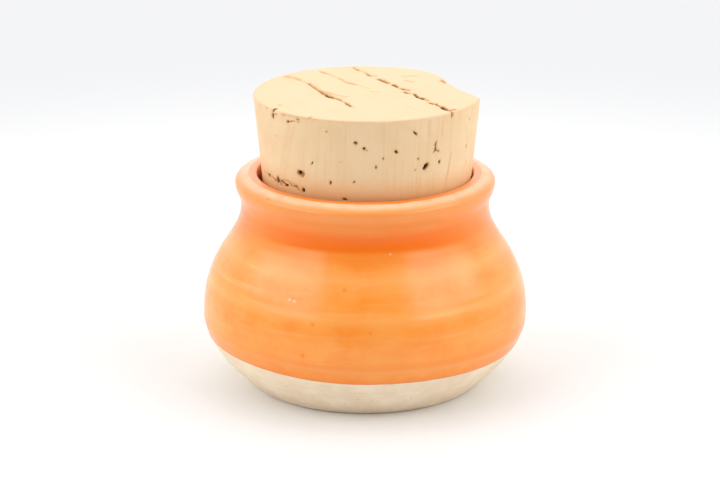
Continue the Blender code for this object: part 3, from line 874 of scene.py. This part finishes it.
def ring_faces(first, count, following, next_count):
    """Faces between two rings, where the second has as many points, half or twice as many."""
    faces = []
    if count == next_count:
        for step in range(count):
            after = (step + 1) % count
            faces.append((first + step, first + after, following + after, following + step))
        return faces
    if count < next_count:
        return [face[::-1] for face in ring_faces(following, next_count, first, count)]
    for step in range(next_count):
        after = (step + 1) % next_count
        a, b, c = first + 2 * step, first + 2 * step + 1, first + 2 * after
        p, q = following + step, following + after
        faces += [(a, b, p), (b, q, p), (b, c, q)]
    return faces


def between(stations, position):
    """The values at positions between stations of (position, value), zero outside them."""
    places, values = zip(*stations)
    return np.interp(position, places, values, left=0.0, right=0.0)


def speckle(points, scale, seed):
    """Smooth noise between about -1 and 1 at each point."""
    offset = Vector((seed * 3.1, seed * 1.7, seed * 5.3))
    return np.array([noise.noise(Vector(point) * scale + offset) for point in points])


def distance_to_line(x, y, start, end):
    """Each point's distance to a straight line between two points."""
    run = np.array(end) - np.array(start)
    length = np.hypot(*run)
    run = run / length
    place = np.clip((x - start[0]) * run[0] + (y - start[1]) * run[1], 0.0, length)
    return np.hypot(x - start[0] - run[0] * place, y - start[1] - run[1] * place)


def distance_to_path(x, y, path):
    """Each point's distance to a path of straight lines."""
    return np.min([distance_to_line(x, y, start, end) for start, end in zip(path, path[1:])], axis=0)


def hollow(reach, steepness=0.55):
    """A hollow's depth from 0 at its rim, where reach is 1, to 1 in its middle."""
    return np.clip(1.0 - reach, 0.0, 1.0) ** steepness


def shade_in(reach):
    """How dark a hollow is: full in its middle, and gone just past its rim."""
    return np.clip((1.15 - reach) / 0.6, 0.0, 1.0)


class CorkSurface:
    """The cork's points, with the marks cut into them and the colour that the marks take."""

    def __init__(self, rings):
        angles, depths, insets = [], [], []
        for count, depth, inset in rings:
            turn = np.arange(count) * 2.0 * math.pi / count
            angles.append(np.degrees(turn - FRONT_CROWDING * np.cos(turn)))
            depths.append(np.full(count, depth))
            insets.append(np.full(count, inset))
        self.angle = (np.concatenate(angles) + 180.0) % 360.0 - 180.0
        self.depth = np.concatenate(depths)
        self.inset = np.concatenate(insets)
        self.height = CORK_TOP - self.depth
        self.turn = np.radians(self.angle)
        self.axis_x = CORK_OFFSET + CORK_LEAN * (self.height - THROAT_HEIGHT)
        above_mouth = np.clip((self.height - THROAT_HEIGHT) / (CORK_TOP - THROAT_HEIGHT), 0.0, 1.0)
        bulge = CORK_BULGE * above_mouth * np.cos(self.turn - math.radians(CORK_BULGE_ANGLE))
        taper = CORK_TOP_RADIUS + self.depth / CORK_LENGTH * (CORK_BOTTOM_RADIUS - CORK_TOP_RADIUS)
        self.edge_radius = taper + bulge
        self.on_top = np.clip(1.0 - self.depth / MARK_FADE, 0.0, 1.0)
        self.on_side = np.clip(1.0 - (self.inset - SIDE_MARK_INSET) / MARK_FADE, 0.0, 1.0)
        self.visible = (self.depth < VISIBLE_DEPTH + 0.001).astype(float)
        self.radius = self.crumbled(self.edge_radius - self.inset)
        self.x = self.radius * np.cos(self.turn)
        self.y = self.radius * np.sin(self.turn)
        points = np.stack([self.x, self.y, self.height], axis=1)
        self.rough = speckle(points, 2100.0, 1.0) * 0.6 + speckle(points, 800.0, 2.0) * 0.6
        self.sunk_in = np.zeros(len(self.x))
        self.sunk_down = np.zeros(len(self.x))
        self.hole = np.zeros(len(self.x))
        self.stain = np.zeros(len(self.x))

    def crumbled(self, radius):
        """The radius where the back right of the top edge has crumbled away, in uneven bites."""
        edge = between(CRUMBLED_EDGE, self.angle)
        deepest = max(inset for _, inset in CRUMBLED_EDGE)
        reach = np.maximum(CRUMBLE_DEPTH * edge / deepest, 1e-9)
        left = np.clip(1.0 - self.depth / reach, 0.0, 1.0) * (edge > 0.0)
        bites = speckle(np.stack([self.turn * self.edge_radius, self.depth, self.depth], axis=1), 500.0, 3.0)
        outer = self.inset <= CORK_EDGE_ROUNDING
        crumbled = radius - (edge * left ** CRUMBLE_HOLLOW + CRUMBLE_BITES * bites * left) * outer
        rim = self.edge_radius - CORK_EDGE_ROUNDING
        shrunk = radius * (rim - edge - CRUMBLE_BITES * bites * (edge > 0.0)) / rim
        return np.where((self.depth == 0.0) & (self.inset > CORK_EDGE_ROUNDING), shrunk, crumbled)

    def cut(self, sunk, reach, share, depth, darkness, halo_width, halo_strength):
        """Sinks a hollow in the side or the top, dark in its middle and with a stain round it."""
        np.maximum(sunk, hollow(reach) * share * depth, out=sunk)
        np.maximum(self.hole, shade_in(reach) * share * darkness, out=self.hole)
        halo = np.exp(-((reach / halo_width) ** 2)) * share
        np.maximum(self.stain, halo * halo_strength * darkness, out=self.stain)

    def side_mark(self, angle, height, half_width, half_height, tilt, depth, darkness):
        """A pit or slot in the side."""
        across = np.radians((self.angle - angle + 180.0) % 360.0 - 180.0) * self.edge_radius
        up = self.height - height
        lean = math.radians(tilt)
        u = across * math.cos(lean) - up * math.sin(lean)
        v = across * math.sin(lean) + up * math.cos(lean)
        reach = np.hypot(u / half_width, v / half_height) * (1.0 + 0.5 * self.rough)
        self.cut(self.sunk_in, reach, self.on_side, depth, darkness, 1.5, 0.45)

    def side_line(self, angle, height, end_angle, end_height, half_width, strength):
        """A fine line drawn in the side."""
        around = self.turn * CORK_BOTTOM_RADIUS
        start = (math.radians(angle) * CORK_BOTTOM_RADIUS, height)
        end = (math.radians(end_angle) * CORK_BOTTOM_RADIUS, end_height)
        away = distance_to_line(around, self.height, start, end)
        line = np.exp(-((away / half_width) ** 2)) * self.on_side
        self.stain = np.maximum(self.stain, line * strength)

    def top_pocket(self, x, y, end_x, end_y, half_width, depth, darkness):
        """A ragged pocket in the top, stretched from one point to another."""
        away = distance_to_line(self.x, self.y, (x, y), (end_x, end_y))
        reach = away / half_width * (1.0 + 0.7 * self.rough)
        self.cut(self.sunk_down, reach, self.on_top, depth, darkness, 1.6, 0.5)

    def top_line(self, path, half_width, depth, darkness):
        """A faint wandering line across the top."""
        away = distance_to_path(self.x, self.y, path) + 0.0004 * self.rough
        reach = np.abs(away) / half_width
        faded = np.clip(0.6 + 1.2 * self.rough, 0.1, 1.0) * self.on_top
        self.sunk_down = np.maximum(self.sunk_down, hollow(reach) * faded * depth)
        self.stain = np.maximum(self.stain, np.exp(-((reach / 1.3) ** 2)) * faded * darkness)

    def points(self):
        """Every point with its marks applied."""
        sunk_in = np.where(self.depth > CORK_LENGTH - 0.001, 0.0, self.sunk_in)
        radius = self.radius - sunk_in
        x = self.axis_x + radius * np.cos(self.turn)
        y = radius * np.sin(self.turn)
        z = self.height - self.sunk_down
        return np.stack([x, y, z], axis=1)


def cut_marks(surface):
    """Everything that weather, insects and the knife left in the cork."""
    surface.top_line(LONG_CRACK, LONG_CRACK_HALF_WIDTH, 0.0002, 0.4)
    for pocket in LONG_CRACK_POCKETS + LEFT_CRACK_POCKETS + FAINT_POCKETS:
        surface.top_pocket(*pocket)
    for mark in SIDE_MARKS + LOW_SCAR:
        surface.side_mark(*mark)
    for line in GROWTH_LINES:
        surface.side_line(*line[:4], GROWTH_LINE_HALF_WIDTH, line[4])
    for start, end in zip(SCAR_ARC, SCAR_ARC[1:]):
        surface.side_line(*start, *end, SCAR_ARC_HALF_WIDTH, 0.9)


def grain_lines(surface):
    """Growth layers, which run through the cork as upright sheets a millimetre or two apart."""
    lean = math.radians(GRAIN_ANGLE)
    across = surface.x * math.cos(lean) + surface.y * math.sin(lean)
    layers = speckle(np.stack([across, across * 0.0, surface.height * 0.04], axis=1), 900.0, 4.0)
    fine = speckle(np.stack([across, across * 0.0, surface.height * 0.02], axis=1), 2600.0, 5.0)
    return np.clip(layers, 0.0, 1.0) * GRAIN_DEPTH + np.clip(fine, 0.0, 1.0) * FINE_GRAIN_DEPTH


def make_cork_body():
    """The tapered cork, before its small pores."""
    rings = cork_rings()
    surface = CorkSurface(rings)
    cut_marks(surface)
    grooves = grain_lines(surface) * surface.visible
    surface.sunk_in = np.maximum(surface.sunk_in, grooves * surface.on_side)
    surface.sunk_down = np.maximum(surface.sunk_down, grooves * 0.6 * surface.on_top)
    points = surface.points()
    faces = []
    firsts = np.concatenate([[0], np.cumsum([ring[0] for ring in rings])])
    for index in range(len(rings) - 1):
        faces += ring_faces(int(firsts[index]), rings[index][0], int(firsts[index + 1]), rings[index + 1][0])
    last_count = rings[-1][0]
    last_first = int(firsts[-2])
    faces.append(tuple(range(last_first, last_first + last_count)))
    faces.append(tuple(reversed(range(rings[0][0]))))
    mesh = bpy.data.meshes.new("cork_body")
    mesh.from_pydata([tuple(point) for point in points], [], faces)
    for name, values in (("hole", surface.hole), ("stain", surface.stain), ("top", surface.on_top),
                         ("unmarked", unmarked_share(surface))):
        layer = mesh.attributes.new(name, "FLOAT", "POINT")
        layer.data.foreach_set("value", values.astype(np.float32))
    return mesh


def unmarked_share(surface):
    """One where the cork has no marks of its own yet: the sides away from the front."""
    front = np.clip((np.abs(surface.angle + 90.0) - 78.0) / 10.0, 0.0, 1.0)
    shown = (surface.depth > 0.001) & (surface.depth < VISIBLE_DEPTH - 0.0015)
    return front * shown


PORE_INPUTS = (
    ("Density", "Float"), ("Smallest", "Float"), ("Largest", "Float"), ("Depth In Radii", "Float"),
    ("Seed", "Int"), ("Material", "Material"),
)


def cork_pores_tree():
    """Scatters pores over the sides that have no marks yet, and sinks the surface into each."""
    tree, nodes, given = new_tree("cork_pores", "Cork", PORE_INPUTS, "Pored Cork")
    bare = nodes.named("unmarked")
    scatter = nodes.add("GeometryNodeDistributePointsOnFaces", {
        "Mesh": given["Cork"], "Density": nodes.times(given["Density"], bare), "Seed": given["Seed"],
    })
    draw = nodes.add("FunctionNodeRandomValue", {2: given["Smallest"], 3: given["Largest"],
                                                 "Seed": given["Seed"]}, data_type="FLOAT")
    pores = nodes.keep(scatter.outputs["Points"], "pore_radius", draw.outputs[1])
    nearest = nodes.add("GeometryNodeSampleNearest", {"Geometry": pores}).outputs["Index"]
    radius = nodes.add("GeometryNodeSampleIndex", {
        "Geometry": pores, "Value": nodes.named("pore_radius"), "Index": nearest,
    }).outputs["Value"]
    proximity = nodes.add("GeometryNodeProximity", {"Geometry": pores}, target_element="POINTS")
    away = proximity.outputs["Distance"]
    place = nodes.add("GeometryNodeInputPosition").outputs[0]
    ragged = nodes.remap(nodes.noise(place, 1500.0, 2.0), 0.2, 0.8, 0.6, 1.5, smooth=False)
    reach = nodes.math("MINIMUM", nodes.times(nodes.over(away, radius), ragged), 1.0)
    cut = nodes.math("POWER", nodes.minus(1.0, reach), 0.55)
    depth = nodes.times(radius, given["Depth In Radii"], cut)
    normal = nodes.add("GeometryNodeInputNormal").outputs[0]
    inward = nodes.add("ShaderNodeVectorMath", {0: normal, "Scale": nodes.times(depth, -1.0)},
                       operation="SCALE").outputs[0]
    darker = nodes.math("MAXIMUM", nodes.named("hole"), nodes.math("MINIMUM", nodes.times(cut, 1.4), 1.0))
    cork = nodes.keep(given["Cork"], "hole", darker)
    cork = nodes.add("GeometryNodeSetPosition", {"Geometry": cork, "Offset": inward}).outputs[0]
    close_tree(nodes, cork, given["Material"], "Pored Cork")
    return tree


def make_cork():
    return run_tree("cork_stopper", make_cork_body(), cork_pores_tree(), {
        "Density": 14000.0, "Smallest": 0.00025, "Largest": 0.0008, "Depth In Radii": 0.9,
        "Seed": SEED, "Material": cork_material(),
    })


def cork_material():
    """Natural cork: pale tan, layered with its growth, brown in its pores and cracks."""
    material, nodes, shader = new_material("natural_cork")
    place = object_place(nodes)
    hole = attribute(nodes, "hole")
    stain = attribute(nodes, "stain")
    apart = nodes.apart(place)
    lean = math.radians(GRAIN_ANGLE)
    across = nodes.plus(nodes.times(apart["X"], math.cos(lean)), nodes.times(apart["Y"], math.sin(lean)))
    run = nodes.minus(nodes.times(apart["Y"], math.cos(lean)), nodes.times(apart["X"], math.sin(lean)))
    layer_place = nodes.vector(nodes.times(across, 900.0), nodes.times(run, 60.0),
                               nodes.times(apart["Z"], 45.0))
    layers = nodes.noise(layer_place, 1.0, 4.0, 0.6)
    clouds = nodes.noise(place, 130.0, 3.0, 0.5)
    cells = nodes.noise(place, 1600.0, 3.0, 0.7)
    color = nodes.mix(nodes.remap(clouds, 0.3, 0.7), srgb(236, 203, 158), srgb(239, 209, 167))
    color = nodes.mix(nodes.remap(layers, 0.52, 0.70, 0.0, 0.30), color, srgb(226, 182, 134))
    color = nodes.mix(nodes.remap(cells, 0.55, 0.80, 0.0, 0.35), color, srgb(220, 174, 124))
    color = nodes.mix(nodes.times(attribute(nodes, "top"), 0.6), color, srgb(240, 198, 160))
    # Painted shade and painted orange bounce light from the glaze, deepening towards the jar's mouth
    mouth_shade_and_bounce = nodes.climb(apart["Z"], THROAT_HEIGHT, MOUTH_SHADE_AND_BOUNCE, 0.0, 0.7)
    color = nodes.mix(mouth_shade_and_bounce, color, srgb(230, 170, 104))
    stained = nodes.times(stain, nodes.remap(clouds, 0.2, 0.6, 0.6, 1.0))
    color = nodes.mix(stained, color, srgb(212, 158, 102))
    rim = nodes.plus(nodes.times(hole, 1.2), nodes.times(nodes.minus(cells, 0.5), 0.4))
    dark = nodes.times(nodes.remap(hole, 0.02, 0.12), rim)
    for low, high, shade in ((0.03, 0.28, (228, 176, 118)), (0.28, 0.58, (172, 122, 74)),
                             (0.58, 0.85, (106, 72, 44)), (0.85, 1.0, (58, 40, 26))):
        color = nodes.mix(nodes.remap(dark, low, high), color, srgb(*shade))
    relief = nodes.plus(nodes.times(cells, 0.6), nodes.times(layers, 0.4))
    finish(nodes, shader, color, 0.82, 0.25, (0.15, 0.5), relief, (0.35, 0.0002))
    return material


# The studio

def make_camera():
    camera_data = bpy.data.cameras.new("camera")
    camera_data.lens = CAMERA_LENS
    camera_data.sensor_width = CAMERA_SENSOR
    camera_data.clip_start = 0.01
    camera = bpy.data.objects.new("camera", camera_data)
    camera.location = CAMERA_PLACE
    camera.rotation_euler = (math.radians(90.0 - CAMERA_PITCH), 0.0, 0.0)
    bpy.context.scene.collection.objects.link(camera)
    bpy.context.scene.camera = camera


def make_floor():
    builder = bmesh.new()
    bmesh.ops.create_grid(builder, x_segments=1, y_segments=1, size=4.0)
    mesh = bpy.data.meshes.new("studio_floor")
    builder.to_mesh(mesh)
    builder.free()
    floor = bpy.data.objects.new("studio_floor", mesh)
    bpy.context.scene.collection.objects.link(floor)
    material, nodes, shader = new_material("studio_white")
    away = nodes.add("ShaderNodeVectorMath", {0: object_place(nodes)}, operation="LENGTH").outputs["Value"]
    near_white = (FLOOR_WHITE, FLOOR_WHITE, FLOOR_WHITE, 1.0)
    shaded_far_white = (FLOOR_SHADED_FAR_WHITE, FLOOR_SHADED_FAR_WHITE * 1.005, FLOOR_SHADED_FAR_WHITE * 1.02, 1.0)
    # Painted shade: the floor darkens and cools away from the jar, where the light falls off
    far = nodes.remap(away, FLOOR_WHITE_REACH, FLOOR_FAR_REACH)
    nodes.feed(shader.inputs["Base Color"], nodes.mix(far, near_white, shaded_far_white))
    shader.inputs["Roughness"].default_value = 0.6
    shader.inputs["Specular IOR Level"].default_value = 0.2
    mesh.materials.append(material)


def make_tent():
    """A white tent: a soft light high on each side, a paler ceiling, and a dark opening in front.

    A direction's frontness is 1 towards the camera's side, 0 to the sides and -1 behind the jar.
    """
    world = bpy.data.worlds.new("tent")
    bpy.context.scene.world = world
    world.use_nodes = True
    nodes = Nodes(world.node_tree)
    background = world.node_tree.nodes["Background"]
    direction = nodes.apart(nodes.add("ShaderNodeTexCoord").outputs["Generated"])
    level = nodes.math("SQRT", nodes.plus(nodes.times(direction["X"], direction["X"]),
                                          nodes.times(direction["Y"], direction["Y"])))
    frontness = nodes.over(nodes.times(direction["Y"], -1.0), nodes.math("MAXIMUM", level, 0.001))
    height = direction["Z"]
    glow = nodes.times(nodes.remap(height, 0.60, 0.85), CEILING_STRENGTH)
    glow = nodes.plus(glow, nodes.remap(frontness, 0.90, 0.30, FRONT_STRENGTH, SIDE_STRENGTH))
    glow = nodes.plus(glow, nodes.remap(frontness, 0.2, -0.5, 0.0, BACK_STRENGTH - SIDE_STRENGTH))
    beside = nodes.times(nodes.remap(frontness, 0.85, 0.72), nodes.remap(frontness, -0.40, -0.05))
    raised = nodes.times(nodes.remap(height, 0.15, 0.42), nodes.remap(height, 0.82, 0.68))
    softboxes = nodes.times(beside, raised, SOFTBOX_STRENGTH)
    glow = nodes.plus(glow, softboxes)
    nodes.feed(background.inputs["Color"], nodes.vector(glow, glow, glow))


def make_studio():
    make_camera()
    make_floor()
    make_tent()
    bpy.context.scene.view_settings.view_transform = "Standard"


def dress():
    thrown = thrown_surface_tree()
    clay = make_clay(thrown)
    glaze = make_glaze(thrown)
    cork = make_cork()
    for piece in (clay, glaze, cork):
        check_closed(piece)
        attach(piece, "root")
    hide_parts("jar")
    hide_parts("cork")


make_studio()
dress()
